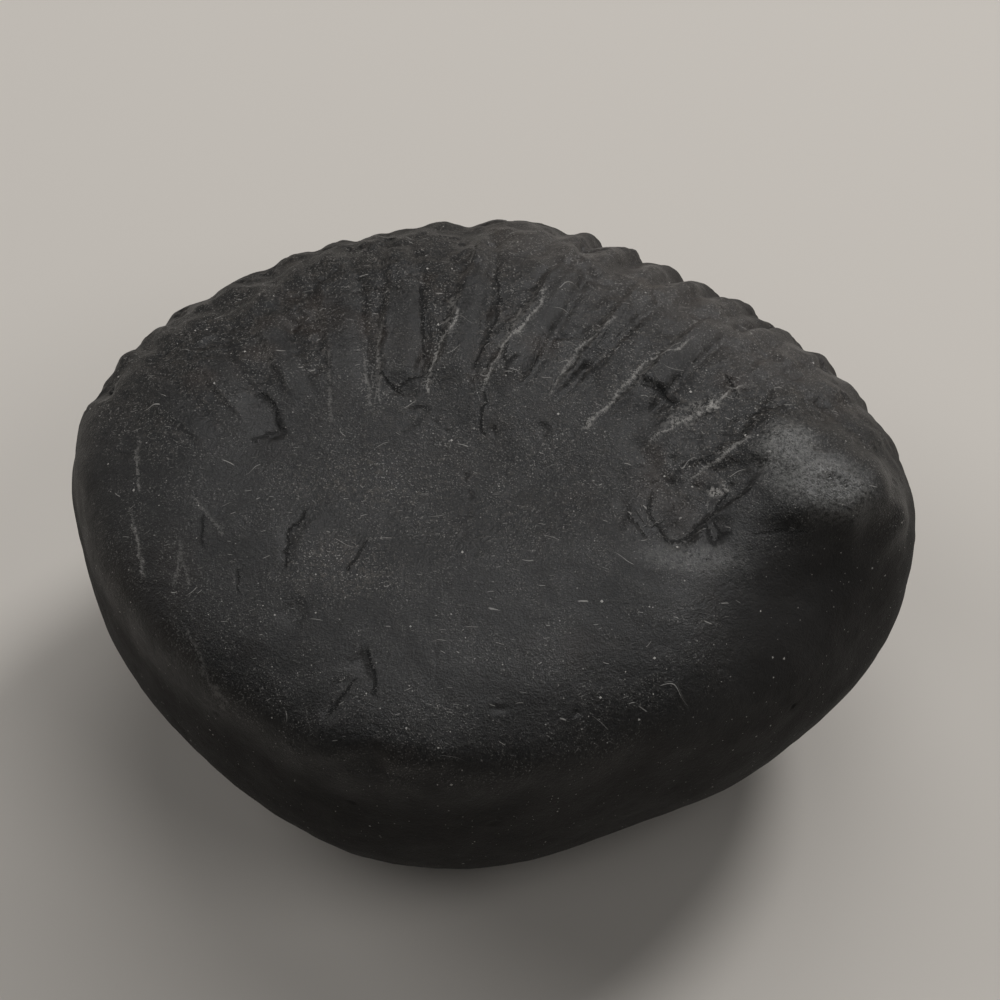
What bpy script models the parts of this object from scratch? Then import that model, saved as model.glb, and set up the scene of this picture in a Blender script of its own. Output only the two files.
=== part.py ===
"""A shaligram: a black river-worn pebble that keeps the ribs of a coiled fossil shell.

Lengths are in millimetres until the mesh is written. The origin is the middle of the resting side,
+X runs along the stone towards its knob, +Y towards its ribbed edge and +Z up.
"""

import bmesh
import bpy
import numpy as np

METRES = 0.001

# Plain pebble. Lists that go round it start at +X and turn towards +Y in equal steps.
PLAN_RADII = (
    (40.7, 37.5, 35.0, 32.7, 33.7, 33.7)
    + (35.0, 36.7, 40.5, 40.6, 38.1, 35.6)
    + (34.8, 33.5, 32.0, 31.8, 34.8, 38.6)
)
SHOULDER_FULLNESS = (3.6, 2.8, 2.5, 2.5, 2.6, 3.6, 5.0, 6.0, 5.6, 4.4, 3.6, 2.7)
TOP_FULLNESS = 3.2
UNDERSIDE_FULLNESS = 2.15
WAIST_HEIGHT = 28.0
TOP_HEIGHT = 44.0
UNDERSIDE_DEPTH = 28.9
FLOOR_BLEND = 1.0
BOX_MIDDLE = (0.0, 0.5)

# Broad swells and hollows of the upper side: x, y, half length, half width, turn in degrees, height.
SWELLS = (
    (-1.0, -3.5, 16.0, 8.5, 0.0, -1.5),
    (-29.5, -1.0, 5.0, 10.0, 0.0, 0.5),
    (20.0, -5.0, 7.0, 3.5, 50.0, -0.7),
    (33.0, -12.0, 8.0, 5.0, 15.0, -2.0),
)

# Swells that end in a ridge: the ridge's two ends, how far the swell reaches back from it, how high it
# stands and how wide its drop is. The stone drops on the left of the line from first end to second.
RIDGES = (
    ((37.5, -5.5), (26.0, -7.5), 8.0, 1.8, 1.4),
    ((27.0, 5.0), (37.0, -2.0), 9.0, 2.2, 4.0),
    ((-4.0, -29.5), (-16.0, -28.5), 7.0, 0.9, 1.2),
)

# Fossil ribs. Bearings are in degrees clockwise from +Y about the middle of the coil, first where the
# rib starts on the upper side and then where it crosses the edge of the stone.
COIL_MIDDLE = (-12.3, -14.0)
RIB_START = 21.0
RIB_EDGE = 50.0
RIBS = (
    # lip at the start, lip at the edge, groove at the start, groove at the edge, height
    (-46.0, -46.0, -39.0, -40.0, 0.2),
    (-34.0, -34.5, -27.0, -28.0, 0.25),
    (-20.0, -21.0, -14.0, -15.5, 0.35),
    (-8.5, -8.0, 1.0, -4.5, 0.35),
    (3.5, 2.8, 14.5, 2.0, 0.4),
    (16.0, 15.0, 26.0, 14.0, 0.5),
    (27.8, 26.8, 37.0, 29.0, 0.4),
    (42.0, 36.2, 43.5, 41.0, 0.4),
    (53.0, 46.0, 61.0, 48.5, 0.5),
    (63.0, 58.5, 66.0, 54.0, 0.4),
)
GROOVE_DEPTH = 0.2

# Lobes of the edge, like a pie crust's: the bearing of each notch and the height of the lobe after it.
EDGE_LOBES = (
    (-66.0, 0.2),
    (-57.0, 0.35),
    (-45.5, 0.5),
    (-37.3, 0.3),
    (-31.5, 0.3),
    (-24.3, 0.4),
    (-15.0, 0.35),
    (-8.0, 0.35),
    (-2.0, 0.4),
    (2.2, 0.4),
    (12.0, 0.6),
    (23.6, 0.9),
    (28.2, 1.2),
    (33.3, 1.1),
    (38.5, 0.8),
    (42.8, 0.8),
    (47.5, 0.6),
    (54.0, 0.6),
    (58.8, 0.5),
    (64.3, 0.3),
    (70.5, 0.2),
    (77.0, 0.0),
)
LOBE_FADE = (13.0, 27.0)

# Chips with one steep wall: x, y, half length, half width, bearing of the wall from +X, depth there.
CHIPS = (
    (13.4, 4.4, 3.6, 2.3, 50.0, 1.0),
    (-22.4, 4.0, 2.0, 2.6, 25.0, 0.9),
    (20.6, -4.0, 1.9, 5.2, -43.0, 0.9),
    (-12.6, -22.8, 1.4, 1.4, 20.0, 0.6),
    (-9.0, 7.6, 1.4, 1.3, -90.0, 0.6),
    (9.0, 18.5, 2.4, 1.6, 60.0, 0.6),
)

# Cuts: the two ends, half width and depth.
CUTS = (
    ((-18.1, -7.2), (-19.0, -9.4), 0.6, 0.5),
    ((-19.0, -9.4), (-19.4, -11.8), 0.6, 0.4),
    ((-13.2, -24.2), (-14.7, -25.8), 0.7, 0.6),
    ((25.0, -7.9), (29.3, -6.9), 0.7, 0.5),
    ((24.0, 16.4), (27.4, 18.8), 0.6, 0.9),
    ((13.8, 0.8), (16.3, -3.6), 0.9, 0.4),
)

# Pits: x, y, radius and depth.
PITS = (
    (11.8, -6.6, 1.1, 0.5),
    (14.7, -13.3, 1.1, 0.3),
    (16.9, -8.6, 1.4, 0.6),
    (20.9, -8.2, 1.2, 0.8),
    (22.6, 8.0, 0.9, 0.7),
    (-18.5, -17.1, 1.3, 0.4),
    (-34.6, 1.7, 1.2, 0.4),
    (-38.2, 10.3, 1.4, 0.6),
)

# How far worn outlines and ribs wander, and over what length.
WANDER = 0.6
RIB_WANDER = 0.25
WANDER_LENGTH = 2.2

ROUGH_SIZE = 2.4
ROUGH_HEIGHT = 0.35

# Unevenness of the whole stone: size of the lumps, then their height.
UNEVENNESS = ((9.0, 0.35), (4.5, 0.14))
TRIANGLES = 9300


def closed_curve(values, bearing):
    """A smooth closed curve through values set at equal bearings."""
    terms = np.fft.rfft(values) / len(values)
    result = np.full_like(bearing, terms[0].real)
    for order in range(1, len(terms)):
        share = 1.0 if 2 * order == len(values) else 2.0
        result += share * (terms[order] * np.exp(1j * order * bearing)).real
    return result


def ramp(value, low, high):
    """0 up to low, 1 from high on and a smooth rise between."""
    share = np.clip((value - low) / (high - low), 0.0, 1.0)
    return share * share * (3.0 - 2.0 * share)


def pebble_level(point):
    """1 on the plain pebble, less inside it and more outside."""
    bearing = np.arctan2(point[:, 1], point[:, 0])
    above = point[:, 2] > WAIST_HEIGHT
    height = np.where(above, TOP_HEIGHT - WAIST_HEIGHT, UNDERSIDE_DEPTH)
    across = np.hypot(point[:, 0], point[:, 1]) / closed_curve(PLAN_RADII, bearing)
    up = np.abs(point[:, 2] - WAIST_HEIGHT) / height
    outer = ramp(across / (across + up), 0.2, 0.7)
    shoulder = TOP_FULLNESS + (closed_curve(SHOULDER_FULLNESS, bearing) - TOP_FULLNESS) * outer
    fullness = np.where(above, shoulder, UNDERSIDE_FULLNESS)
    return (across**fullness + up**fullness) ** (1.0 / fullness)


def pebble_surface(direction):
    """The plain pebble's points in these directions from its heart."""
    heart = np.array([0.0, 0.0, WAIST_HEIGHT])
    stretched = direction * np.array([PLAN_RADII[0], PLAN_RADII[3], 22.0])
    return heart + stretched / pebble_level(heart + stretched)[:, None]


def pebble_normal(point):
    slopes = [pebble_level(point + step) - pebble_level(point - step) for step in np.eye(3) * 0.05]
    slopes = np.stack(slopes, axis=1)
    return slopes / np.linalg.norm(slopes, axis=1)[:, None]


def lattice_value(cell, seed):
    """A repeatable number from -1 to 1 for each lattice cell."""
    mixed = cell[0] * 374761393 + cell[1] * 668265263 + cell[2] * 1274126177 + seed * 1442695041
    mixed = (mixed ^ (mixed >> 13)) * 1103515245 & 0x7FFFFFFF
    return ((mixed ^ (mixed >> 16)) & 0xFFFF) / 32767.5 - 1.0


def uneven(point, size, seed):
    """Smooth random lumps about one size across, from -1 to 1."""
    place = point.T / size
    cell = np.floor(place).astype(np.int64)
    share = ramp(place - cell, 0.0, 1.0)
    total = np.zeros(len(point))
    for corner in np.ndindex(2, 2, 2):
        weight = np.ones(len(point))
        for axis, side in enumerate(corner):
            weight = weight * (share[axis] if side else 1.0 - share[axis])
        total += weight * lattice_value(cell + np.array(corner)[:, None], seed)
    return total


def turned(point, x, y, turn):
    """Distances along and across a direction, from x, y on the plan."""
    angle = np.radians(turn)
    east = point[:, 0] - x
    north = point[:, 1] - y
    along = east * np.cos(angle) + north * np.sin(angle)
    across = north * np.cos(angle) - east * np.sin(angle)
    return along, across


def beside(point, first, second):
    """Distances along and across a line from its middle, and half its length."""
    east = second[0] - first[0]
    north = second[1] - first[1]
    middle = (np.array(first) + second) / 2.0
    along, across = turned(point, middle[0], middle[1], np.degrees(np.arctan2(north, east)))
    return along, across, np.hypot(east, north) / 2.0


def swells(point):
    total = np.zeros(len(point))
    for x, y, length, width, turn, height in SWELLS:
        along, across = turned(point, x, y, turn)
        total += height * np.exp(-((along / length) ** 2) - (across / width) ** 2)
    return total


def ridges(point):
    total = np.zeros(len(point))
    for first, second, reach, height, drop in RIDGES:
        along, across, half = beside(point, first, second)
        ends = np.exp(-((along / (half + 1.5)) ** 4))
        back = np.exp(-((np.minimum(across, 0.0) / reach) ** 2))
        total += height * ends * back * (1.0 - ramp(across, -drop, drop))
    return total


def rib_offset(bearing, distance, start, edge):
    """How far round the coil each point lies from a line, in millimetres."""
    share = (distance - RIB_START) / (RIB_EDGE - RIB_START)
    return np.radians(bearing - start - (edge - start) * share) * distance


def ribs(bearing, distance):
    """Raised fingers of the upper side, with a sharp lip on one side and a groove on the other."""
    total = np.zeros(len(bearing))
    for lip_start, lip_edge, groove_start, groove_edge, height in RIBS:
        from_lip = rib_offset(bearing, distance, lip_start, lip_edge)
        from_groove = rib_offset(bearing, distance, groove_start, groove_edge)
        total += height * ramp(from_lip, -0.5, 0.5) * (1.0 - ramp(from_groove, -1.8, 0.2))
        total -= GROOVE_DEPTH * np.exp(-((from_groove / 0.5) ** 2))
    return total


def lobes(bearing):
    """Lobes round the edge, each rising gently and ending in a steep side."""
    notches, heights = np.array(EDGE_LOBES).T
    place = np.interp(bearing, notches, np.arange(len(notches)))
    lobe = place.astype(int)
    share = place - lobe
    middles = (notches[1:] + notches[:-1]) / 2.0
    mean = np.interp(bearing, middles, heights[:-1])
    return heights[lobe] * np.sin(np.pi * share**1.5) - 0.5 * mean


def shell(point):
    """What is left of the fossil: ribs on the upper side and lobes round the edge."""
    east = point[:, 0] - COIL_MIDDLE[0]
    north = point[:, 1] - COIL_MIDDLE[1]
    distance = np.hypot(east, north)
    bearing = np.degrees(np.arctan2(east, north))
    start = RIB_START + (np.maximum(bearing, 0.0) / 17.5) ** 2
    drop = TOP_HEIGHT - point[:, 2]
    sector = ramp(bearing, -62.0, -40.0) * (1.0 - ramp(bearing, 68.0, 78.0))
    face = sector * ramp(distance, start - 1.0, start + 3.0) * (1.0 - ramp(drop, 2.5, 5.5))
    edge = ramp(drop, 1.5, 5.0) * ramp(point[:, 2], *LOBE_FADE)
    return face * ribs(bearing, distance) + edge * lobes(bearing)


def wandering(point):
    """Small uneven shifts of the plan, so that worn outlines don't run straight."""
    shifts = [uneven(point, WANDER_LENGTH, seed) for seed in (11, 12)]
    return np.stack([*shifts, np.zeros(len(point))], axis=1)


def chips(point):
    total = np.zeros(len(point))
    for x, y, length, width, turn, depth in CHIPS:
        along, across = turned(point, x, y, turn)
        wedge = np.clip(0.5 + 0.5 * along / length, 0.0, 1.0)
        wall = 1.0 - ramp(along, length - 0.3, length + 0.3)
        sides = 1.0 - ramp(np.abs(across), width - 0.7, width + 0.5)
        total -= depth * wedge * wall * sides
    return total


def cuts(point):
    total = np.zeros(len(point))
    for first, second, width, depth in CUTS:
        along, across, half = beside(point, first, second)
        beyond = np.maximum(np.abs(along) - half, 0.0)
        total -= depth * np.exp(-((np.hypot(beyond, across) / width) ** 2))
    return total


def pits(point):
    total = np.zeros(len(point))
    for x, y, radius, depth in PITS:
        total -= depth * np.exp(-((np.hypot(point[:, 0] - x, point[:, 1] - y) / radius) ** 4))
    return total


def rough_shoulder(point):
    """Pitted ground along the back, where the upper side turns down."""
    drop = TOP_HEIGHT - point[:, 2]
    back = ramp(point[:, 1], 6.0, 14.0)
    band = ramp(drop, 0.4, 2.0) * (1.0 - ramp(drop, 7.0, 14.0))
    return ROUGH_HEIGHT * back * band * uneven(point, ROUGH_SIZE, 7)


def resting(height):
    """Heights after the lowest part is flattened onto the resting plane."""
    blend = np.clip(height, 0.0, FLOOR_BLEND)
    return blend**2 / (2.0 * FLOOR_BLEND) + np.maximum(height - FLOOR_BLEND, 0.0)


def stone_surface(direction):
    """Points of the finished stone in these directions from its heart."""
    plain = pebble_surface(direction)
    upper = ramp(plain[:, 2], WAIST_HEIGHT - 4.0, WAIST_HEIGHT + 4.0)
    shift = wandering(plain)
    near = plain + WANDER * shift
    worn = swells(plain) + ridges(near) + chips(near) + cuts(near) + pits(near)
    height = shell(plain + RIB_WANDER * shift) + rough_shoulder(plain) + upper * worn
    for seed, (size, amount) in enumerate(UNEVENNESS):
        height += amount * (0.5 + 0.5 * upper) * uneven(plain, size, seed)
    point = plain + pebble_normal(plain) * height[:, None]
    point[:, 2] = resting(point[:, 2])
    point[:, :2] -= BOX_MIDDLE
    return point


def clear_scene():
    for leftover in list(bpy.data.objects):
        bpy.data.objects.remove(leftover, do_unlink=True)


def stone_material():
    material = bpy.data.materials.new("black_stone")
    material.use_nodes = True
    shader = material.node_tree.nodes["Principled BSDF"]
    shader.inputs["Base Color"].default_value = (0.012, 0.0115, 0.011, 1.0)
    shader.inputs["Roughness"].default_value = 0.5
    return material


def stone_object():
    mesh = bpy.data.meshes.new("shaligram_stone")
    ball = bmesh.new()
    bmesh.ops.create_icosphere(ball, subdivisions=7, radius=1.0)
    ball.to_mesh(mesh)
    ball.free()
    direction = np.empty(3 * len(mesh.vertices), dtype=np.float32)
    mesh.vertices.foreach_get("co", direction)
    point = stone_surface(direction.reshape(-1, 3).astype(np.float64)) * METRES
    mesh.vertices.foreach_set("co", point.astype(np.float32).ravel())
    mesh.update()
    mesh.materials.append(stone_material())
    stone = bpy.data.objects.new("shaligram_stone", mesh)
    facets = stone.modifiers.new("facets", "DECIMATE")
    facets.ratio = TRIANGLES / len(mesh.polygons)
    return stone


def main():
    clear_scene()
    collection = bpy.data.collections.new("shaligram")
    bpy.context.scene.collection.children.link(collection)
    collection.objects.link(stone_object())


if __name__ == "__main__":
    main()
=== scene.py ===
"""A shaligram: a black river-worn pebble that keeps the ribs of a coiled fossil shell.

The stone's own lengths are in millimetres until its mesh is written.
"""

import bmesh
import bpy
import numpy as np
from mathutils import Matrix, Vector


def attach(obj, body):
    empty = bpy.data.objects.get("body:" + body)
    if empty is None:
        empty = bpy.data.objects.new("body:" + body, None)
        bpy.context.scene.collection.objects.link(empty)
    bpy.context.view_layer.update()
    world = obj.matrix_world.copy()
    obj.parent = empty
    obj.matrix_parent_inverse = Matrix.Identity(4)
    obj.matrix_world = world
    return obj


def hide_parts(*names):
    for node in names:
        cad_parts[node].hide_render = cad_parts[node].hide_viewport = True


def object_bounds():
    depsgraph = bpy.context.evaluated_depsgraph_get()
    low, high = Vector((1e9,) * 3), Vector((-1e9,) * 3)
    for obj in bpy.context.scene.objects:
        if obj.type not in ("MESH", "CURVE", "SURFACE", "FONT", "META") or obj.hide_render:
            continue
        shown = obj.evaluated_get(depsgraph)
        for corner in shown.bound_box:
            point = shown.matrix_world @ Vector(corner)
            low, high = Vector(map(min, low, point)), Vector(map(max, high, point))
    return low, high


MM = 0.001

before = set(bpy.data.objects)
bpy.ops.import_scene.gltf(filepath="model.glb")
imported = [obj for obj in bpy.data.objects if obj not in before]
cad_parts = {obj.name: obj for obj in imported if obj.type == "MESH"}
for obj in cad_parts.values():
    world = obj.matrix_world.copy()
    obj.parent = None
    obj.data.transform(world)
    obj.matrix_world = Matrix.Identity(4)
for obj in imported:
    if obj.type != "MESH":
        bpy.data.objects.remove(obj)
cad_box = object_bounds()

# Form: the solid's own formula, with finer relief on top.

PLAN_RADII = (
    (40.7, 37.5, 35.0, 32.7, 33.7, 33.7)
    + (35.0, 36.7, 40.5, 40.6, 38.1, 35.6)
    + (34.8, 33.5, 32.0, 31.8, 34.8, 38.6)
)
SHOULDER_FULLNESS = (3.6, 2.8, 2.5, 2.5, 2.6, 3.6, 5.0, 6.0, 5.6, 4.4, 3.6, 2.7)
TOP_FULLNESS = 3.2
UNDERSIDE_FULLNESS = 2.15
WAIST_HEIGHT = 28.0
TOP_HEIGHT = 44.0
UNDERSIDE_DEPTH = 28.9
HALF_HEIGHT = 22.0
FLOOR_BLEND = 1.0
BOX_MIDDLE = (0.0, 0.5)
NORMAL_STEP = 0.05

# x, y, half length, half width, turn in degrees, height
SWELLS = (
    (-1.0, -3.5, 16.0, 8.5, 0.0, -1.5),
    (-29.5, -1.0, 5.0, 10.0, 0.0, 0.5),
    (20.0, -5.0, 7.0, 3.5, 50.0, -0.7),
    (33.0, -12.0, 8.0, 5.0, 15.0, -2.0),
)

# the two ends, reach behind the ridge, height, half width of the drop
RIDGES = (
    ((38.0, -5.5), (28.5, -7.1), 8.0, 1.6, 2.0),
    ((27.0, 5.0), (37.0, -2.0), 9.0, 2.2, 4.0),
    ((-4.0, -30.8), (-16.0, -29.8), 7.0, 0.8, 1.4),
)

COIL_MIDDLE = (-12.3, -14.0)
RIB_START = 21.0
RIB_EDGE = 50.0

# bearings of the lip at the start and at the edge, the same for the groove,
# height, and how strong a highlight is painted whitish along the lip
RIBS = (
    (-46.0, -46.0, -39.0, -40.0, 0.2, 0.0),
    (-34.0, -34.5, -27.0, -28.0, 0.25, 0.15),
    (-20.0, -21.0, -14.0, -15.5, 0.35, 0.35),
    (-8.5, -8.0, 1.0, -4.5, 0.35, 0.3),
    (3.5, 2.8, 14.5, 2.0, 0.4, 0.5),
    (16.0, 15.0, 26.0, 14.0, 0.5, 1.0),
    (27.8, 26.8, 37.0, 29.0, 0.4, 1.0),
    (42.0, 36.2, 43.5, 41.0, 0.4, 0.6),
    (53.0, 46.0, 61.0, 48.5, 0.5, 0.9),
    (63.0, 58.5, 66.0, 54.0, 0.4, 0.5),
)
GROOVE_DEPTH = 0.2
LIP_HEIGHT = 0.14

# bearing of each notch of the edge, height of the lobe after it
EDGE_LOBES = (
    (-66.0, 0.2),
    (-57.0, 0.35),
    (-45.5, 0.5),
    (-37.3, 0.3),
    (-31.5, 0.3),
    (-24.3, 0.4),
    (-15.0, 0.35),
    (-8.0, 0.35),
    (-2.0, 0.4),
    (2.2, 0.4),
    (12.0, 0.6),
    (23.6, 0.9),
    (28.2, 1.2),
    (33.3, 1.1),
    (38.5, 0.8),
    (42.8, 0.8),
    (47.5, 0.6),
    (54.0, 0.6),
    (58.8, 0.5),
    (64.3, 0.3),
    (70.5, 0.2),
    (77.0, 0.0),
)
LOBE_FADE = (13.0, 27.0)

# x, y, half length, half width, bearing of the steep wall, depth there
CHIPS = (
    (13.4, 4.4, 3.6, 2.3, 50.0, 0.5),
    (-22.4, 4.0, 2.0, 2.6, 25.0, 0.5),
    (20.6, -4.0, 1.9, 5.2, -43.0, 0.7),
    (-12.6, -22.8, 1.4, 1.4, 20.0, 0.4),
    (-9.0, 7.6, 1.4, 1.3, -90.0, 0.3),
    (9.0, 18.5, 2.4, 1.6, 60.0, 0.4),
)
CUTS = (
    ((-18.1, -7.2), (-19.0, -9.4), 0.6, 0.2),
    ((-19.0, -9.4), (-19.4, -11.8), 0.6, 0.2),
    ((-13.2, -24.2), (-14.7, -25.8), 0.7, 0.3),
    ((25.0, -7.9), (29.3, -6.9), 0.7, 0.1),
    ((24.0, 16.4), (27.4, 18.8), 0.6, 0.7),
    ((13.8, 0.8), (16.3, -3.6), 0.9, 0.3),
)
PITS = (
    (11.8, -6.6, 1.1, 0.25),
    (14.7, -13.3, 1.1, 0.15),
    (16.9, -8.6, 1.4, 0.35),
    (20.9, -8.2, 1.2, 0.4),
    (22.6, 8.0, 0.9, 0.35),
    (-18.5, -17.1, 1.3, 0.2),
    (-34.6, 1.7, 1.2, 0.2),
    (-38.2, 10.3, 1.4, 0.5),
)

# lines finer than the plain solid holds: the points of each, strength. On the first, highlights
# are painted whitish along fine lips; on the cracks, shade is painted dark.
GLINT_LINES = (
    (((-3.6, 14.6), (-4.2, 12.9), (-5.1, 11.9), (-5.7, 9.4), (-6.2, 7.3)), 1.0),
    (((4.8, 17.6), (4.0, 15.6), (2.9, 13.6), (1.1, 11.5), (0.4, 9.5), (-0.7, 7.4)), 1.0),
    (((11.1, 14.5), (10.0, 13.1), (8.6, 12.1), (6.8, 9.5), (5.7, 7.1)), 0.75),
    (((18.5, 12.7), (17.6, 11.5), (14.7, 10.1), (12.6, 7.7), (10.4, 4.5), (9.2, 3.2)), 0.9),
    (((23.1, 7.6), (20.5, 5.1), (17.4, 3.2), (15.4, 1.7)), 1.0),
    (((23.5, 0.9), (22.1, 0.0), (20.0, -1.3), (18.9, -2.3)), 0.8),
    (((-12.3, 9.3), (-11.9, 5.2)), 0.4),
    (((-11.1, 12.7), (-10.8, 6.1)), 0.5),
    (((-15.8, 10.3), (-15.6, 4.4)), 0.3),
    (((-33.8, 1.7), (-33.5, -2.9)), 0.5),
    (((-33.9, -6.3), (-32.8, -11.3)), 0.7),
    (((-27.8, -18.7), (-26.7, -21.4), (-25.2, -23.7)), 0.3),
    (((-27.7, -5.6), (-25.7, -8.3)), 0.35),
    (((-29.5, -12.7), (-29.2, -9.9), (-28.6, -12.9)), 0.35),
)
CRACKS = (
    (((-21.6, 6.1), (-20.9, 5.3), (-20.3, 2.8), (-22.2, 1.7)), 0.65),
    (((-17.9, -7.0), (-19.2, -8.9), (-19.2, -11.7)), 0.9),
    (((-11.4, -21.9), (-10.9, -23.2), (-10.8, -24.7)), 1.0),
    (((-13.3, -24.6), (-14.6, -26.4)), 1.0),
    (((-27.1, -7.9), (-27.0, -9.4)), 0.7),
    (((-12.2, -10.4), (-13.2, -12.2)), 0.7),
    (((-23.7, -13.4), (-23.6, -14.0)), 0.7),
    (((0.4, 20.0), (0.5, 17.3), (0.0, 14.4), (-0.6, 11.7), (-1.7, 9.5)), 0.8),
    (((-7.0, 18.3), (-7.0, 17.7), (-6.8, 13.0), (-6.7, 11.2)), 0.8),
    (((-10.4, 7.9), (-9.3, 6.6)), 1.0),
    (((-9.0, 7.2), (-7.3, 8.1)), 0.7),
    (((1.2, 10.3), (1.1, 8.6), (1.8, 9.6)), 0.7),
    (((-0.9, 5.6), (-1.0, 2.5)), 0.8),
    (((14.9, 7.2), (15.9, 7.0), (16.7, 6.1)), 0.8),
    (((22.5, 8.2), (23.0, 7.2)), 0.9),
    (((22.1, -3.7), (20.3, -6.4), (19.0, -7.7), (17.6, -9.2), (16.3, -9.2), (15.4, -8.1)), 0.8),
    (((20.1, -7.5), (20.4, -9.1), (21.6, -8.6), (21.1, -7.8)), 0.8),
    (((25.0, -8.1), (26.8, -7.8), (28.6, -7.8)), 0.8),
    (((20.9, 0.1), (19.4, -0.9)), 0.6),
    (((14.8, -5.1), (14.5, -6.7), (15.0, -7.3)), 0.6),
    (((12.9, -7.3), (13.7, -8.6)), 0.5),
)

# how far the outlines of marks and ribs wander, and over what length
WANDER = 0.6
RIB_WANDER = 0.25
WANDER_LENGTH = 2.2
FRAY = 0.28
LINE_FRAY = 0.3
FRAY_LENGTH = 0.9

# between which distances a line's strength fades out, the largest distance
# that is kept, and one that is larger than any near a line
LINE_REACH = (0.6, 1.1)
LINE_SIDE = 1.5
FAR = 9.0

# size and height of the lumps along the back, and of those all over
ROUGH_LUMPS = (2.4, 0.35)
UNEVENNESS = ((9.0, 0.35), (4.5, 0.14))
KNOB_MIDDLE = (31.0, -4.2)

# x, y, half length, half width, turn in degrees
TROUGH = (19.0, -0.5, 11.0, 6.5, 45.0)
BROWN_SPOTS = ((-28.0, 8.4), (-22.3, 11.3), (4.4, 11.7), (22.7, 8.3))
BROWN_SPOT_SIZE = (2.6, 1.8)
# a whitish highlight painted on the back
PAINTED_BACK_GLINT = (19.8, 4.8, 5.5, 1.5, 32.0)
TROUGH_CRYSTALS = (21.3, -3.7, 1.5, 0.8)
# the front below the knob, where shade is painted
SHADED_FRONT = (30.0, -16.5, 16.0, 10.0, 49.0)
POLISHED_FRONT = (-10.8, -27.0, 6.0, 3.0)

# the same, with how strong each is
CHALK_PATCHES = (
    ((-10.0, -2.5, 15.0, 5.0), 1.0),
    ((-14.0, -12.5, 9.0, 5.0), 1.0),
    ((2.0, 1.0, 30.0, 18.0), 0.5),
)
# ovals where a glint is painted: on the knob and on a band below the trough
PAINTED_GLINT_PATCHES = (
    ((27.3, -0.3, 3.9, 4.4), 1.0),
    ((30.2, -3.4, 6.6, 3.9, -12.0), 1.0),
    ((18.5, -11.0, 8.0, 2.2), 0.4),
)

# the ball that the mesh starts from, and where its finer part begins: the two
# ends of an edge together are this high
BALL_LEVEL = 7
FINE_START = 0.26


def closed_curve(values, bearing):
    """The smooth closed curve through evenly spaced values."""
    terms = np.fft.rfft(values) / len(values)
    result = np.full_like(bearing, terms[0].real)
    for order in range(1, len(terms)):
        share = 1.0 if 2 * order == len(values) else 2.0
        result += share * (terms[order] * np.exp(1j * order * bearing)).real
    return result


def ramp(value, low, high):
    """0 below low, 1 above high and smooth between them."""
    share = np.clip((value - low) / (high - low), 0.0, 1.0)
    return share * share * (3.0 - 2.0 * share)


def pebble_level(point):
    """1 on the plain pebble, less inside it and more outside."""
    bearing = np.arctan2(point[:, 1], point[:, 0])
    above = point[:, 2] > WAIST_HEIGHT
    height = np.where(above, TOP_HEIGHT - WAIST_HEIGHT, UNDERSIDE_DEPTH)
    across = np.hypot(point[:, 0], point[:, 1]) / closed_curve(PLAN_RADII, bearing)
    up = np.abs(point[:, 2] - WAIST_HEIGHT) / height
    outer = ramp(across / (across + up), 0.2, 0.7)
    shoulder = TOP_FULLNESS + (closed_curve(SHOULDER_FULLNESS, bearing) - TOP_FULLNESS) * outer
    fullness = np.where(above, shoulder, UNDERSIDE_FULLNESS)
    return (across**fullness + up**fullness) ** (1.0 / fullness)


def pebble_surface(direction):
    """Where each direction from the pebble's heart meets its surface."""
    heart = np.array([0.0, 0.0, WAIST_HEIGHT])
    stretched = direction * np.array([PLAN_RADII[0], PLAN_RADII[3], HALF_HEIGHT])
    return heart + stretched / pebble_level(heart + stretched)[:, None]


def pebble_normal(point):
    """Which way the plain pebble's surface faces."""
    steps = np.eye(3) * NORMAL_STEP
    slopes = [pebble_level(point + step) - pebble_level(point - step) for step in steps]
    slopes = np.stack(slopes, axis=1)
    return slopes / np.linalg.norm(slopes, axis=1)[:, None]


def lattice_value(cell, seed):
    """A scattered value from -1 to 1, always the same for a cell and a seed."""
    mixed = cell[0] * 374761393 + cell[1] * 668265263 + cell[2] * 1274126177 + seed * 1442695041
    mixed = (mixed ^ (mixed >> 13)) * 1103515245 & 0x7FFFFFFF
    return ((mixed ^ (mixed >> 16)) & 0xFFFF) / 32767.5 - 1.0


def uneven(point, size, seed):
    """Smooth lumps of a size, from -1 to 1. Each seed gives other lumps."""
    place = point.T / size
    cell = np.floor(place).astype(np.int64)
    share = ramp(place - cell, 0.0, 1.0)
    total = np.zeros(len(point))
    for corner in np.ndindex(2, 2, 2):
        weight = np.ones(len(point))
        for axis, side in enumerate(corner):
            weight = weight * (share[axis] if side else 1.0 - share[axis])
        total += weight * lattice_value(cell + np.array(corner)[:, None], seed)
    return total


def layered(point, size, seed):
    """Three layers of lumps, each finer and fainter than the last, from about -1 to 1."""
    total = np.zeros(len(point))
    for layer in range(3):
        total += uneven(point + 7.3 * layer, size / 2**layer, seed + layer) / 2**layer
    return total / 1.4


def turned(point, x, y, turn):
    """Distances along and across a line of the plan that is turned from +X."""
    angle = np.radians(turn)
    east = point[:, 0] - x
    north = point[:, 1] - y
    along = east * np.cos(angle) + north * np.sin(angle)
    return along, north * np.cos(angle) - east * np.sin(angle)


def beside(point, first, second):
    """Distances along and across the line between two points, and half its length."""
    east = second[0] - first[0]
    north = second[1] - first[1]
    middle = (np.array(first) + second) / 2.0
    along, across = turned(point, middle[0], middle[1], np.degrees(np.arctan2(north, east)))
    return along, across, np.hypot(east, north) / 2.0


def swells(point):
    total = np.zeros(len(point))
    for x, y, length, width, turn, height in SWELLS:
        along, across = turned(point, x, y, turn)
        total += height * np.exp(-((along / length) ** 2) - (across / width) ** 2)
    return total


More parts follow.
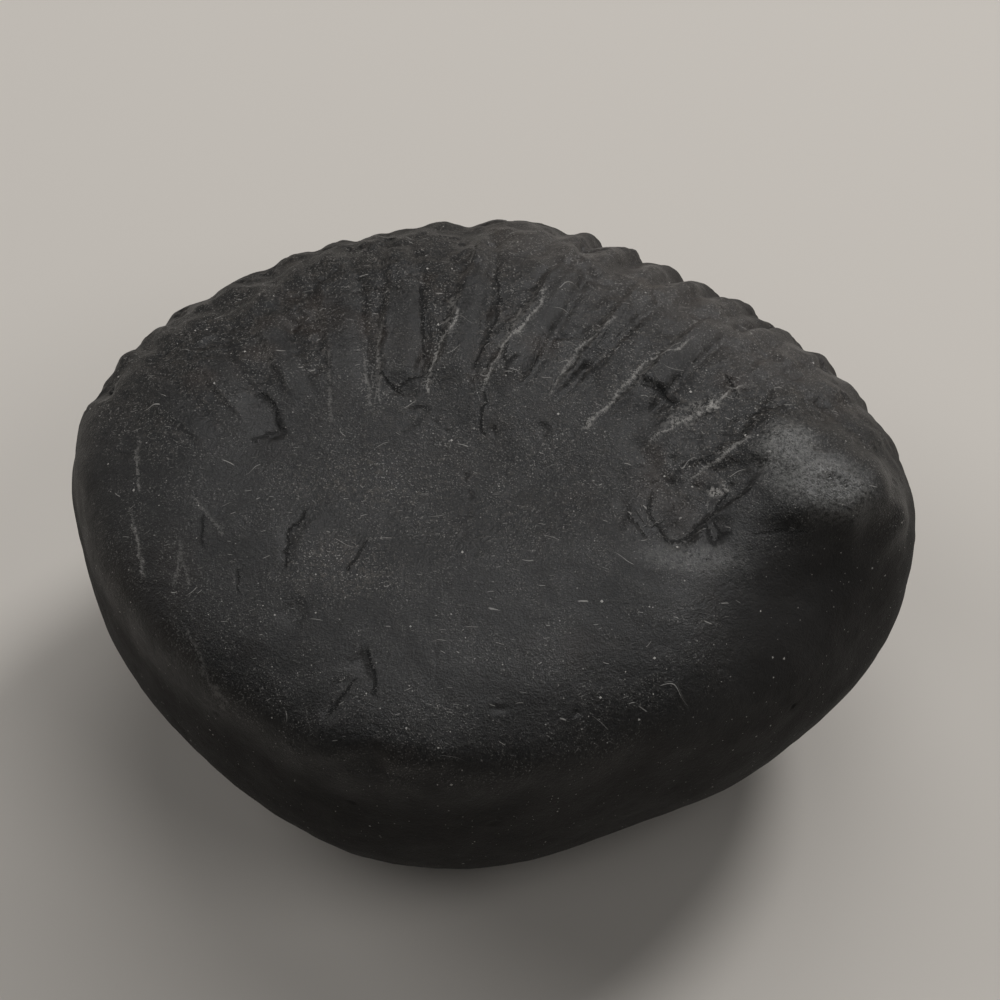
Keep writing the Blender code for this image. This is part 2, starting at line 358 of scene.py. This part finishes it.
def ridges(point):
    total = np.zeros(len(point))
    for first, second, reach, height, drop in RIDGES:
        along, across, half = beside(point, first, second)
        ends = np.exp(-((along / (half + 1.5)) ** 4))
        back = np.exp(-((np.minimum(across, 0.0) / reach) ** 2))
        total += height * ends * back * (1.0 - ramp(across, -drop, drop))
    return total


def rib_offset(bearing, distance, start, edge):
    """How far each point lies round the coil from a line that runs outwards."""
    share = (distance - RIB_START) / (RIB_EDGE - RIB_START)
    return np.radians(bearing - start - (edge - start) * share) * distance


def ribs(bearing, distance):
    """Heights of the ribs, how far each point is on one and how strong the highlight painted
    whitish along its lip is.
    """
    height = np.zeros(len(bearing))
    on_rib = np.zeros(len(bearing))
    highlights_and_crystals = np.zeros(len(bearing))
    for lip_start, lip_edge, groove_start, groove_edge, rise, lip_glint in RIBS:
        from_lip = rib_offset(bearing, distance, lip_start, lip_edge)
        from_groove = rib_offset(bearing, distance, groove_start, groove_edge)
        height += rise * ramp(from_lip, -0.4, 0.4) * (1.0 - ramp(from_groove, -1.8, 0.2))
        height += LIP_HEIGHT * np.exp(-(((from_lip - 0.3) / 0.3) ** 2))
        height -= GROOVE_DEPTH * np.exp(-((from_groove / 0.4) ** 2))
        inside = ramp(from_lip, 0.2, 0.7) * (1.0 - ramp(from_groove, -0.8, -0.2))
        on_rib = np.maximum(on_rib, inside)
        highlights_and_crystals = np.maximum(highlights_and_crystals, lip_glint * np.exp(-(((from_lip + 0.1) / 0.42) ** 2)))
    return height, on_rib, highlights_and_crystals


def lobes(bearing):
    notches, heights = np.array(EDGE_LOBES).T
    place = np.interp(bearing, notches, np.arange(len(notches)))
    lobe = place.astype(int)
    share = place - lobe
    middles = (notches[1:] + notches[:-1]) / 2.0
    mean = np.interp(bearing, middles, heights[:-1])
    return heights[lobe] * np.sin(np.pi * share**1.5) - 0.5 * mean


def shell(point):
    """What is left of the fossil, the broken ground between its ribs and the highlights painted
    whitish along the ribs' lips.
    """
    east = point[:, 0] - COIL_MIDDLE[0]
    north = point[:, 1] - COIL_MIDDLE[1]
    distance = np.hypot(east, north)
    bearing = np.degrees(np.arctan2(east, north))
    start = RIB_START + (np.maximum(bearing, 0.0) / 17.5) ** 2
    drop = TOP_HEIGHT - point[:, 2]
    sector = ramp(bearing, -62.0, -40.0) * (1.0 - ramp(bearing, 68.0, 78.0))
    face = sector * ramp(distance, start - 1.0, start + 3.0) * (1.0 - ramp(drop, 2.5, 5.5))
    edge = ramp(drop, 1.5, 5.0) * ramp(point[:, 2], *LOBE_FADE)
    height, on_rib, highlights_and_crystals = ribs(bearing, distance)
    spared = on_rib * (1.0 - ramp(drop, 3.0, 6.0))
    ground = sector * ramp(distance, start - 2.0, start + 5.0) * (1.0 - spared)
    ended = ramp(distance, start + 9.0, start + 14.0)
    highlights_and_crystals *= sector * ramp(distance, start - 1.0, start + 1.5) * (1.0 - ended)
    return face * height + edge * lobes(bearing), ground, highlights_and_crystals


def shifted(point, length, seeds):
    """Sideways shifts that change smoothly over a length."""
    shifts = [uneven(point, length, seed) for seed in seeds]
    return np.stack([*shifts, np.zeros(len(point))], axis=1)


def chips(point):
    total = np.zeros(len(point))
    for x, y, length, width, turn, depth in CHIPS:
        along, across = turned(point, x, y, turn)
        wedge = np.clip(0.5 + 0.5 * along / length, 0.0, 1.0)
        wall = 1.0 - ramp(along, length - 0.2, length + 0.2)
        sides = 1.0 - ramp(np.abs(across), width - 0.7, width + 0.5)
        total -= depth * wedge * wall * sides
    return total


def cuts(point):
    total = np.zeros(len(point))
    for first, second, width, depth in CUTS:
        along, across, half = beside(point, first, second)
        beyond = np.maximum(np.abs(along) - half, 0.0)
        total -= depth * np.exp(-((np.hypot(beyond, across) / width) ** 2))
    return total


def pits(point):
    total = np.zeros(len(point))
    for x, y, radius, depth in PITS:
        away = np.hypot(point[:, 0] - x, point[:, 1] - y)
        total -= depth * np.exp(-((away / radius) ** 4))
    return total


def nearest_line(point, lines):
    """How strong the nearest of the lines is and how far to its side each point lies."""
    nearest = np.full(len(point), FAR)
    aside = np.full(len(point), FAR)
    strength = np.zeros(len(point))
    for line, amount in lines:
        for first, second in zip(line[:-1], line[1:]):
            along, across, half = beside(point, first, second)
            distance = np.hypot(np.maximum(np.abs(along) - half, 0.0), across)
            closer = distance < nearest
            nearest = np.where(closer, distance, nearest)
            aside = np.where(closer, across, aside)
            strength = np.where(closer, amount * (1.0 - ramp(distance, *LINE_REACH)), strength)
    return strength, np.clip(aside, -LINE_SIDE, LINE_SIDE)


def terraces(value):
    """Turns smooth lumps into steps with steep sides."""
    level = np.floor(value)
    return level + ramp(value - level, 0.75, 1.0)


def rough_shoulder(point):
    """Lumps along the back, below the upper face."""
    drop = TOP_HEIGHT - point[:, 2]
    back = ramp(point[:, 1], 6.0, 14.0)
    band = ramp(drop, 0.4, 2.0) * (1.0 - ramp(drop, 7.0, 14.0))
    size, height = ROUGH_LUMPS
    return height * back * band * uneven(point, size, 7)


def oval(point, x, y, length, width, turn=0.0):
    """1 in the middle of an oval of the plan and 0 outside it."""
    along, across = turned(point, x, y, turn)
    return 1.0 - ramp(np.hypot(along / length, across / width), 0.3, 1.0)


def strongest(point, patches):
    """The strongest of several ovals at each point."""
    return np.maximum.reduce([strength * oval(point, *patch) for patch, strength in patches])


def broken_ground(point, ground):
    """How broken the surface is: between the ribs, along the back and round the trough."""
    drop = TOP_HEIGHT - point[:, 2]
    back = ramp(point[:, 1], 4.0, 14.0) * ramp(drop, 0.5, 2.5) * (1.0 - ramp(drop, 14.0, 24.0))
    return np.maximum(np.maximum(ground, back), trough(point))


def trough(point):
    """The broken hollow beside the knob, from 0 to 1."""
    return oval(point, *TROUGH)


def knob_ring(point):
    """A low oval ring on the knob with a dent inside it."""
    x, y = KNOB_MIDDLE
    distance = np.hypot(point[:, 0] - x, (point[:, 1] - y) / 0.75)
    ring = 0.16 * np.exp(-(((distance - 2.4) / 0.5) ** 2))
    return ring - 0.1 * np.exp(-((distance / 1.6) ** 2))


def fine_relief(point, broken, upper):
    """Grain, small flaws and broken ground, for which the plain solid is too coarse."""
    total = broken * (0.14 * uneven(point, 1.5, 21) + 0.09 * uneven(point, 0.8, 22))
    total += 0.05 * uneven(point, 1.9, 23) + 0.025 * uneven(point, 0.9, 24)
    flakes = uneven(point, 1.7, 31) + 0.5 * uneven(point, 0.8, 32)
    total -= 0.22 * broken * ramp(flakes, 0.55, 0.75)
    total += 0.22 * trough(point) * terraces(2.2 * layered(point, 5.0, 71)) + knob_ring(point)
    flaws = uneven(point, 2.6, 41) + 0.45 * uneven(point, 1.1, 42)
    total -= 0.16 * (0.4 + 0.6 * upper) * ramp(flaws, 0.92, 1.08)
    return total


def stone_surface(direction):
    """Points of the finished stone and masks for its colours."""
    plain = pebble_surface(direction)
    upper = ramp(plain[:, 2], WAIST_HEIGHT - 4.0, WAIST_HEIGHT + 4.0)
    shift = shifted(plain, WANDER_LENGTH, (11, 12))
    fray = shifted(plain, FRAY_LENGTH, (13, 14))
    near = plain + WANDER * shift
    worn = swells(plain) + ridges(near) + chips(near) + cuts(near) + pits(near + FRAY * fray)
    height, ground, highlights_and_crystals = shell(plain + RIB_WANDER * shift)
    broken = broken_ground(plain, ground)
    height += rough_shoulder(plain) + upper * worn + fine_relief(plain, broken, upper)
    for seed, (size, amount) in enumerate(UNEVENNESS):
        height += amount * (0.5 + 0.5 * upper) * uneven(plain, size, seed)
    point = plain + pebble_normal(plain) * height[:, None]
    blend = np.clip(point[:, 2], 0.0, FLOOR_BLEND)
    point[:, 2] = blend**2 / (2.0 * FLOOR_BLEND) + np.maximum(point[:, 2] - FLOOR_BLEND, 0.0)
    point[:, :2] -= BOX_MIDDLE
    return point, masks(plain, broken, highlights_and_crystals, upper) | lines(plain + LINE_FRAY * fray, upper)


def lines(point, upper):
    """The highlight lines painted whitish along fine lips and the cracks, where shade is painted
    dark, and how far to their side each point lies.
    """
    glint_line, glint_line_side = nearest_line(point, GLINT_LINES)
    crack, crack_side = nearest_line(point, CRACKS)
    sides = {"glint_line_side": glint_line_side, "crack_side": crack_side}
    return {"glint_line": upper * glint_line, "crack": upper * crack} | sides


def masks(plain, broken, highlights_and_crystals, upper):
    """Where the stone is brown and chalky, where highlights, a glint, a sheen and shade are
    painted, and so on, each from 0 to 1.
    """
    drop = TOP_HEIGHT - plain[:, 2]
    ragged = 0.5 + 0.5 * layered(plain, 1.3, 51)
    brown = ramp(layered(plain, 5.0, 61), 0.2, 0.65) * (0.35 + 0.65 * broken)
    for x, y in BROWN_SPOTS:
        brown = np.maximum(brown, oval(plain, x, y, *BROWN_SPOT_SIZE))
    chalky = np.maximum(strongest(plain, CHALK_PATCHES), 0.8 * broken)
    # A highlight painted whitish on the back; beside it the trough's crystals are whitish specks.
    back_glint_and_crystals = 0.8 * oval(plain, *PAINTED_BACK_GLINT) * ramp(ragged, 0.35, 0.7)
    back_glint_and_crystals = np.maximum(back_glint_and_crystals, oval(plain, *TROUGH_CRYSTALS) * (ragged > 0.45))
    highlights_and_crystals = np.maximum(0.35 * highlights_and_crystals * ramp(ragged, 0.3, 0.62), back_glint_and_crystals)
    painted_glint = strongest(plain, PAINTED_GLINT_PATCHES)
    smooth = painted_glint * (1.0 - ramp(plain[:, 0], 32.0, 37.0))
    smooth = np.maximum(smooth, 0.7 * oval(plain, *POLISHED_FRONT))
    # Shade painted on the sides and underside and on the front below the knob; the same mask
    # makes them rougher.
    shaded_flank = 1.0 - upper * (1.0 - ramp(drop, 4.0, 12.0))
    shaded_flank = np.maximum(shaded_flank, 0.9 * oval(plain, *SHADED_FRONT))
    # A sheen painted on the back and right edge of the upper face, where light from behind
    # reflects.
    painted_rim_sheen = ramp(drop, 0.3, 3.0) * (1.0 - ramp(drop, 8.0, 15.0))
    painted_rim_sheen = painted_rim_sheen * ramp(plain[:, 0], -8.0, 6.0) * ramp(plain[:, 1], 4.0, 12.0)
    faint_below = 0.15 + 0.85 * upper
    return {
        "brown": brown * faint_below,
        "chalky": chalky * faint_below,
        "highlights_and_crystals": highlights_and_crystals * upper,
        "painted_glint": painted_glint * upper,
        "smooth": smooth * upper,
        "shaded_flank": shaded_flank,
        "tone": np.clip(0.5 + 0.8 * layered(plain, 6.0, 81), 0.0, 1.0),
        "painted_rim_sheen": painted_rim_sheen,
    }


def within(point, box):
    """The points, each side drawn in slightly where fine relief passes the solid's box."""
    low = np.array(box[0]) / MM
    high = np.array(box[1]) / MM
    point = np.where(point > 0.0, point * np.minimum(1.0, high / point.max(axis=0)), point)
    across = point[:, :2]
    drawn = across * np.minimum(1.0, low[:2] / across.min(axis=0))
    point[:, :2] = np.where(across < 0.0, drawn, across)
    return point


def stone_mesh():
    ball = bmesh.new()
    bmesh.ops.create_icosphere(ball, subdivisions=BALL_LEVEL, radius=1.0)
    upper = [edge for edge in ball.edges if sum(end.co.z for end in edge.verts) > FINE_START]
    bmesh.ops.subdivide_edges(ball, edges=upper, cuts=1, use_grid_fill=True)
    bmesh.ops.triangulate(ball, faces=ball.faces[:])
    mesh = bpy.data.meshes.new("stone")
    ball.to_mesh(mesh)
    ball.free()
    place = np.empty(3 * len(mesh.vertices), dtype=np.float32)
    mesh.vertices.foreach_get("co", place)
    direction = place.reshape(-1, 3).astype(np.float64)
    direction /= np.linalg.norm(direction, axis=1)[:, None]
    point, values = stone_surface(direction)
    point = within(point, cad_box)
    mesh.vertices.foreach_set("co", (point * MM).astype(np.float32).ravel())
    for name, value in values.items():
        made = mesh.attributes.new(name, "FLOAT", "POINT")
        made.data.foreach_set("value", value.astype(np.float32))
    mesh.polygons.foreach_set("use_smooth", [True] * len(mesh.polygons))
    mesh.update()
    return mesh


# Material.

DEEP_STONE = (0.0036, 0.0034, 0.0034, 1.0)
LIGHTER_STONE = (0.0062, 0.0058, 0.0056, 1.0)
WORN_GRAIN = (0.0215, 0.0200, 0.0186, 1.0)
PAINTED_RIM_SHEEN = (0.052, 0.047, 0.044, 1.0)
BROWN = (0.022, 0.0135, 0.0090, 1.0)
PAINTED_FLANK_SHADE = (0.0042, 0.0030, 0.0022, 1.0)
CHALK = (0.072, 0.062, 0.052, 1.0)
PAINTED_GLINT = (0.190, 0.187, 0.178, 1.0)
PAINTED_CRACK_SHADE = (0.0016, 0.0015, 0.0014, 1.0)
PAINTED_GRAIN_SHADE = (0.0024, 0.0023, 0.0022, 1.0)
DUST_AND_GLINT = (0.52, 0.50, 0.47, 1.0)

# half widths of the lines, and of the painted glint flecks beside the painted highlight lines
CRACK_WIDTH = 0.17
GLINT_LINE_WIDTH = 0.19
GLINT_FLECK_WIDTH = 1.0

SPECULAR = 0.38
BUMP_HEIGHT = 0.12


class Nodes:
    """Short calls that make and link shader nodes."""

    def __init__(self, tree):
        self.tree = tree

    def add(self, kind, inputs, **settings):
        made = self.tree.nodes.new(kind)
        for name, value in settings.items():
            setattr(made, name, value)
        for key, value in inputs.items():
            if isinstance(value, bpy.types.NodeSocket):
                self.tree.links.new(value, made.inputs[key])
            else:
                made.inputs[key].default_value = value
        return made

    def math(self, operation, *values, clamp=False):
        inputs = dict(enumerate(values))
        return self.add("ShaderNodeMath", inputs, operation=operation, use_clamp=clamp).outputs[0]

    def times(self, first, second):
        return self.math("MULTIPLY", first, second)

    def most(self, first, second):
        return self.math("MAXIMUM", first, second)

    def scaled(self, value, factor, offset, clamp=False):
        """The value times the factor, plus the offset."""
        return self.math("MULTIPLY_ADD", value, factor, offset, clamp=clamp)

    def mask(self, name):
        """One of the masks that the mesh carries."""
        return self.add("ShaderNodeAttribute", {}, attribute_name=name).outputs["Fac"]

    def noise(self, place, scale, detail, rough):
        inputs = {"Vector": place, "Scale": scale, "Detail": detail, "Roughness": rough}
        return self.add("ShaderNodeTexNoise", inputs).outputs["Fac"]

    def fade(self, value, low, high):
        """0 at low, 1 at high and straight between them."""
        inputs = {"Value": value, "From Min": low, "From Max": high}
        return self.add("ShaderNodeMapRange", inputs).outputs[0]

    def mix(self, share, first, second):
        inputs = {0: share, 6: first, 7: second}
        return self.add("ShaderNodeMix", inputs, data_type="RGBA").outputs[2]

    def tint(self, base, colour, where, amount):
        """The base with an amount of a colour laid over it where the mask is 1."""
        return self.mix(self.times(where, amount), base, colour)

    def line(self, name, ragged, width):
        """1 on the nearest of the mesh's lines and 0 beside it, its edges moved by ragged."""
        aside = self.math("ADD", self.mask(name + "_side"), ragged)
        near = self.fade(self.math("ABSOLUTE", aside), width, 0.4 * width)
        return self.times(near, self.mask(name))

    def dots(self, place, scale, share, size, sides="3D"):
        """Specks in a share of the cells round scattered points."""
        settings = {"voronoi_dimensions": sides, "distance": "MANHATTAN"}
        inputs = {"Vector": place, "Scale": scale}
        cells = self.add("ShaderNodeTexVoronoi", inputs, **settings)
        chosen = self.add("ShaderNodeSeparateColor", {0: cells.outputs["Color"]})
        there = self.math("GREATER_THAN", chosen.outputs[0], 1.0 - share)
        width = self.scaled(chosen.outputs[1], 0.7 * size, 0.3 * size)
        inside = self.math("SUBTRACT", width, cells.outputs["Distance"])
        return self.times(self.math("MULTIPLY", inside, 40.0, clamp=True), there)

    def threads(self, place, turn, length, width, share, size):
        """Short curled threads lying about one way."""
        inputs = {"Vector": place, "Scale": 0.3, "Detail": 0.0}
        bend = self.add("ShaderNodeTexNoise", inputs).outputs["Color"]
        inputs = {0: bend, 1: (4.0, 4.0, 4.0), 2: place}
        bent = self.add("ShaderNodeVectorMath", inputs, operation="MULTIPLY_ADD").outputs[0]
        stretch = (1.0 / length, 1.0 / width, 1.0)
        inputs = {"Vector": bent, "Rotation": (0.0, 0.0, turn), "Scale": stretch}
        cells = self.add("ShaderNodeMapping", inputs).outputs[0]
        return self.dots(cells, 1.0, share, size, "2D")


def dust_and_glints(n, place, grain, fine, patches, ragged):
    """Dust, flecks, threads and painted highlights (whitish lines along the lips and a whitish
    patch on the back), with the trough's whitish crystals, from 0 to 1. Threads lie on what faces
    up.
    """
    dust = n.times(n.dots(place, 1.8, 0.6, 0.2), n.scaled(patches, 0.6, 0.3))
    dust = n.most(dust, n.dots(place, 0.8, 0.35, 0.16))
    flecks = n.scaled(n.mask("chalky"), 0.6, n.scaled(patches, 0.5, 0.05))
    flecks = n.times(n.fade(fine, 0.62, 0.67), flecks)
    flecks = n.times(flecks, n.scaled(n.mask("shaded_flank"), -0.7, 0.45))
    highlights_and_crystals = n.times(n.line("glint_line", ragged, GLINT_LINE_WIDTH), n.fade(grain, 0.39, 0.54))
    glint_flecks = n.times(n.line("glint_line", ragged, GLINT_FLECK_WIDTH), n.fade(fine, 0.54, 0.62))
    highlights_and_crystals = n.most(highlights_and_crystals, n.times(glint_flecks, 0.3))
    # worn here carries the highlights painted along the lips and on the back, with the trough's
    # crystals.
    worn = n.times(n.mask("highlights_and_crystals"), n.fade(grain, 0.44, 0.56))
    highlights_and_crystals = n.most(n.times(highlights_and_crystals, 0.6), worn)
    threads = n.threads(place, 0.6, 7.0, 0.75, 0.35, 0.09)
    threads = n.most(threads, n.threads(place, 2.3, 6.0, 0.7, 0.30, 0.09))
    normal = n.add("ShaderNodeNewGeometry", {}).outputs["Normal"]
    facing = n.add("ShaderNodeSeparateXYZ", {0: normal}).outputs[2]
    lying = n.times(n.scaled(n.mask("shaded_flank"), -0.6, 0.6), n.fade(facing, 0.55, 0.85))
    return n.most(n.most(dust, n.times(threads, lying)), n.most(highlights_and_crystals, flecks))


def stone_colour(n, grain, fine, patches, crack, light):
    """Black stone, greyer where the grain is worn, with its patches laid over it, among them
    painted light and shade: a sheen on the back edge, shade on the sides, in cracks and grain
    hollows, a glint on the knob and highlights along the lips.
    """
    base = n.mix(n.mask("tone"), DEEP_STONE, LIGHTER_STONE)
    worn = n.times(n.fade(grain, 0.42, 0.62), n.scaled(patches, 0.55, 0.6, clamp=True))
    base = n.mix(worn, base, WORN_GRAIN)
    # painted sheen on the back edge
    base = n.tint(base, PAINTED_RIM_SHEEN, n.mask("painted_rim_sheen"), 0.75)
    base = n.tint(base, BROWN, n.mask("brown"), 0.45)
    # painted shade on the sides, tinted warm like the floor's bounce
    base = n.tint(base, PAINTED_FLANK_SHADE, n.mask("shaded_flank"), 0.75)
    base = n.tint(base, CHALK, n.times(n.fade(grain, 0.53, 0.64), n.mask("chalky")), 0.6)
    # painted glint on the knob and below the trough, broken up by the grain
    base = n.tint(base, PAINTED_GLINT, n.times(n.fade(grain, 0.34, 0.60), n.mask("painted_glint")), 0.75)
    # painted shade in the cracks
    base = n.tint(base, PAINTED_CRACK_SHADE, crack, 0.9)
    # painted shade in the hollows of the fine grain
    base = n.tint(base, PAINTED_GRAIN_SHADE, n.fade(fine, 0.40, 0.33), 0.6)
    # dust, flecks and threads, and the painted highlights along the lips and on the back
    return n.tint(base, DUST_AND_GLINT, light, 0.75)


def stone_roughness(n, grain, patches, crack, light):
    """Smoother where it was handled or polished, rougher on the flanks and in cracks."""
    rough = n.scaled(grain, 0.34, 0.33)
    rough = n.scaled(n.mask("tone"), -0.10, rough)
    rough = n.scaled(patches, -0.06, rough)
    rough = n.scaled(n.mask("smooth"), -0.16, rough)
    rough = n.scaled(n.mask("shaded_flank"), 0.4, rough)
    rough = n.scaled(crack, 0.4, rough)
    return n.scaled(light, 0.3, rough, clamp=True)


def stone_bump(n, grain, fine, crack, light):
    height = n.scaled(light, 0.3, grain)
    height = n.scaled(fine, 0.35, height)
    height = n.scaled(crack, -0.8, height)
    inputs = {"Strength": 1.0, "Distance": BUMP_HEIGHT * MM, "Height": height}
    return n.add("ShaderNodeBump", inputs).outputs[0]


def stone_material():
    material = bpy.data.materials.new("worn_black_stone")
    material.use_nodes = True
    tree = material.node_tree
    n = Nodes(tree)
    own = n.add("ShaderNodeTexCoord", {}).outputs["Object"]
    inputs = {0: own, "Scale": 1.0 / MM}
    place = n.add("ShaderNodeVectorMath", inputs, operation="SCALE").outputs[0]
    grain = n.noise(place, 2.2, 4.0, 0.78)
    fine = n.noise(place, 5.6, 1.0, 0.6)
    patches = n.fade(n.noise(place, 0.3, 2.0, 0.6), 0.38, 0.62)
    ragged = n.scaled(fine, 0.7, -0.35)
    crack = n.line("crack", ragged, CRACK_WIDTH)
    light = dust_and_glints(n, place, grain, fine, patches, ragged)

    shader = tree.nodes["Principled BSDF"].inputs
    shader["Specular IOR Level"].default_value = SPECULAR
    tree.links.new(stone_colour(n, grain, fine, patches, crack, light), shader["Base Color"])
    tree.links.new(stone_roughness(n, grain, patches, crack, light), shader["Roughness"])
    tree.links.new(stone_bump(n, grain, fine, crack, light), shader["Normal"])
    return material


# Floor, light and camera, in metres.

FLOOR_SIDE = 1.5
FLOOR_COLOUR = (0.66, 0.62, 0.57, 1.0)
LIGHT_DISTANCE = 0.85
LIGHT_TARGET = Vector((0.0, 0.0, 0.02))
SKY_COLOUR = (1.0, 0.99, 0.97, 1.0)
SKY_STRENGTH = 0.03
CAMERA_ELEVATION = 60.0
CAMERA_DISTANCE = 0.375
CAMERA_TARGET = Vector((0.6, 6.3, 22.0)) * MM
LENS = 135.0
SENSOR = 36.0

# height and bearing in degrees, size and power
LIGHTS = {
    "back": (62.0, 5.0, 0.55, 1.7),
    "back_right": (46.0, 42.0, 0.25, 3.2),
    "left": (38.0, 292.0, 0.45, 1.3),
    "right": (58.0, 122.0, 0.35, 0.8),
    "front_left": (64.0, 213.0, 0.3, 0.3),
}


def pale_floor():
    mesh = bpy.data.meshes.new("floor")
    signs = ((-1.0, -1.0), (1.0, -1.0), (1.0, 1.0), (-1.0, 1.0))
    corners = [(FLOOR_SIDE * x, FLOOR_SIDE * y, 0.0) for x, y in signs]
    mesh.from_pydata(corners, [], [(0, 1, 2, 3)])
    material = bpy.data.materials.new("pale_floor")
    material.use_nodes = True
    shader = material.node_tree.nodes["Principled BSDF"].inputs
    shader["Base Color"].default_value = FLOOR_COLOUR
    shader["Roughness"].default_value = 0.9
    shader["Specular IOR Level"].default_value = 0.2
    mesh.materials.append(material)
    floor = bpy.data.objects.new("floor", mesh)
    bpy.context.scene.collection.objects.link(floor)


def soft_light(name, height, bearing, size, power):
    """A round soft light. Its bearing turns from the back towards the right."""
    up = np.radians(height)
    side = np.radians(bearing)
    away = Vector((np.sin(side) * np.cos(up), np.cos(side) * np.cos(up), np.sin(up)))
    light = bpy.data.lights.new(name, "AREA")
    light.shape = "DISK"
    light.size = size
    light.energy = power
    lamp = bpy.data.objects.new(name, light)
    lamp.location = away * LIGHT_DISTANCE + LIGHT_TARGET
    lamp.rotation_euler = away.to_track_quat("Z", "Y").to_euler()
    bpy.context.scene.collection.objects.link(lamp)


def surroundings():
    world = bpy.data.worlds.new("studio")
    world.use_nodes = True
    background = world.node_tree.nodes["Background"].inputs
    background["Color"].default_value = SKY_COLOUR
    background["Strength"].default_value = SKY_STRENGTH
    bpy.context.scene.world = world
    bpy.context.scene.view_settings.view_transform = "Standard"


def photo_camera():
    elevation = np.radians(CAMERA_ELEVATION)
    away = Vector((0.0, -np.cos(elevation), np.sin(elevation)))
    data = bpy.data.cameras.new("camera")
    data.lens = LENS
    data.sensor_width = SENSOR
    data.clip_start = 0.01
    camera = bpy.data.objects.new("camera", data)
    camera.location = CAMERA_TARGET + away * CAMERA_DISTANCE
    camera.rotation_euler = (-away).to_track_quat("-Z", "Y").to_euler()
    bpy.context.scene.collection.objects.link(camera)
    bpy.context.scene.camera = camera


pale_floor()
for light_name, light_values in LIGHTS.items():
    soft_light(light_name, *light_values)
surroundings()
photo_camera()

stone = bpy.data.objects.new("stone", stone_mesh())
stone.data.materials.append(stone_material())
bpy.context.scene.collection.objects.link(stone)
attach(stone, "root")
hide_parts("shaligram_stone")
